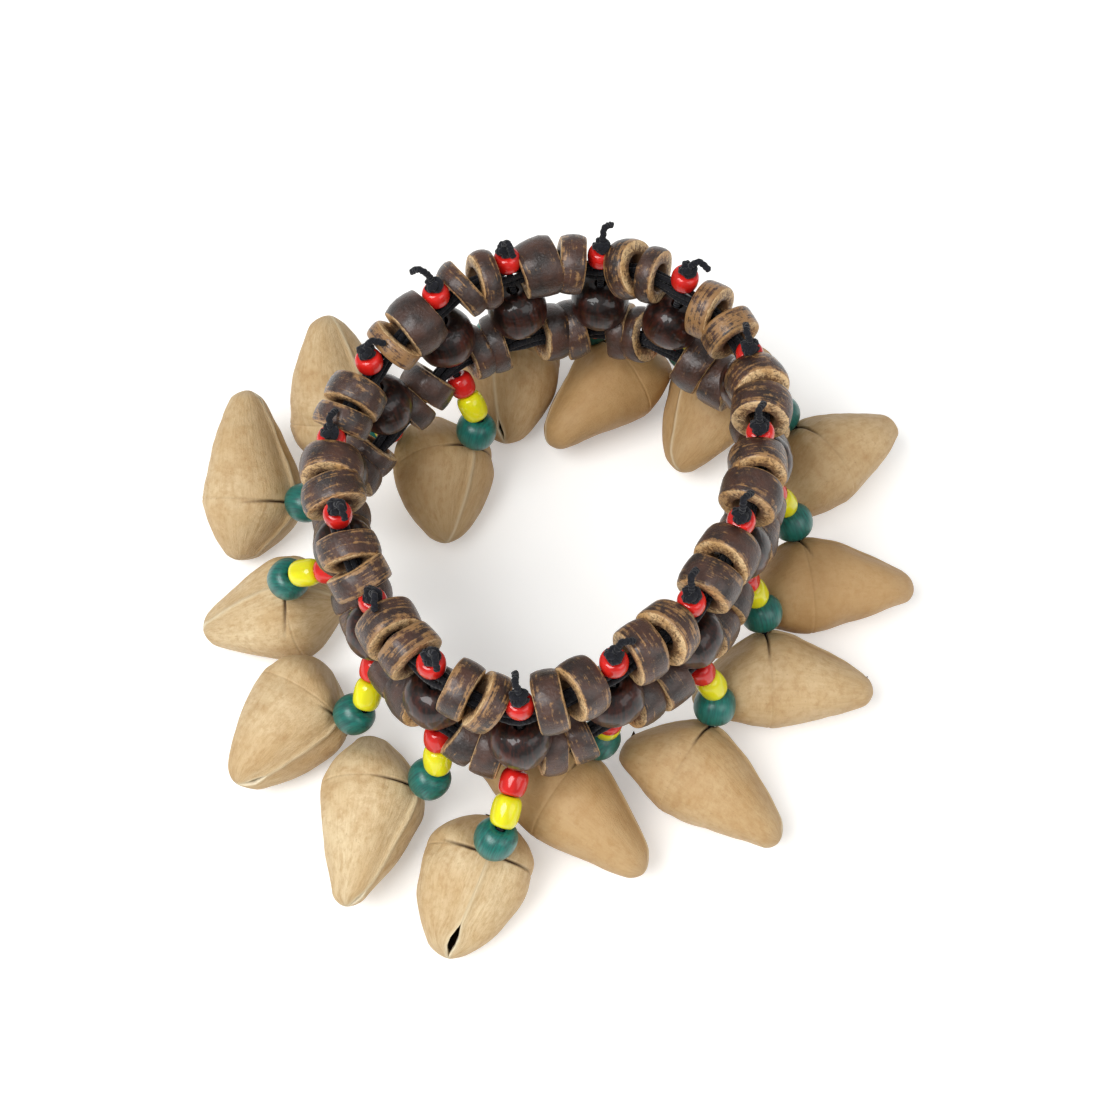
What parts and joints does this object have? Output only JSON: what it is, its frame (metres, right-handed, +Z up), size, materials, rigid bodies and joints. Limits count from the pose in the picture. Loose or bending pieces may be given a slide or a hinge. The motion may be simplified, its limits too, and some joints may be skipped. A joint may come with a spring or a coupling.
{
  "type": "nutshell shaker bracelet",
  "caption": "Wrist rattle: hollow nutshells hang on beaded cords from two elastic loops threaded with coconut-shell rings and round wood beads.",
  "frame": {"origin": "middle of the footprint of the shells, on the surface that the bracelet stands on", "axes": "+Z up through the wrist opening, -Y towards the side that faces the camera in the picture, +X to its right"},
  "size_m": [0.1234, 0.122, 0.0569],
  "materials": {
    "coconut_rings": "sawn and tumbled coconut shell rings on black elastic",
    "wood_beads": "dark lacquered round wood beads",
    "bead_strings": "black waxed cord with red, yellow and green beads",
    "nutshells": "dry pale nutshell, matt, with fine fibre streaks"
  },
  "bodies": {
    "root": {"upper_elastic_with_coconut_rings": "coconut_rings", "lower_elastic_with_coconut_rings": "coconut_rings", "wood_bead_01": "wood_beads", "wood_bead_02": "wood_beads", "wood_bead_03": "wood_beads", "wood_bead_04": "wood_beads", "wood_bead_05": "wood_beads", "wood_bead_06": "wood_beads", "wood_bead_07": "wood_beads", "wood_bead_08": "wood_beads", "wood_bead_09": "wood_beads", "wood_bead_10": "wood_beads", "wood_bead_11": "wood_beads", "wood_bead_12": "wood_beads", "wood_bead_13": "wood_beads", "wood_bead_14": "wood_beads", "wood_bead_15": "wood_beads", "bead_string_01": "bead_strings", "bead_string_02": "bead_strings", "bead_string_03": "bead_strings", "bead_string_04": "bead_strings", "bead_string_05": "bead_strings", "bead_string_06": "bead_strings", "bead_string_07": "bead_strings", "bead_string_08": "bead_strings", "bead_string_09": "bead_strings", "bead_string_10": "bead_strings", "bead_string_11": "bead_strings", "bead_string_12": "bead_strings", "bead_string_13": "bead_strings", "bead_string_14": "bead_strings", "bead_string_15": "bead_strings", "nutshell_01": "nutshells", "nutshell_02": "nutshells", "nutshell_03": "nutshells", "nutshell_04": "nutshells", "nutshell_05": "nutshells", "nutshell_06": "nutshells", "nutshell_07": "nutshells", "nutshell_08": "nutshells", "nutshell_09": "nutshells", "nutshell_10": "nutshells", "nutshell_11": "nutshells", "nutshell_12": "nutshells", "nutshell_13": "nutshells", "nutshell_14": "nutshells", "nutshell_15": "nutshells"}
  },
  "joints": []
}
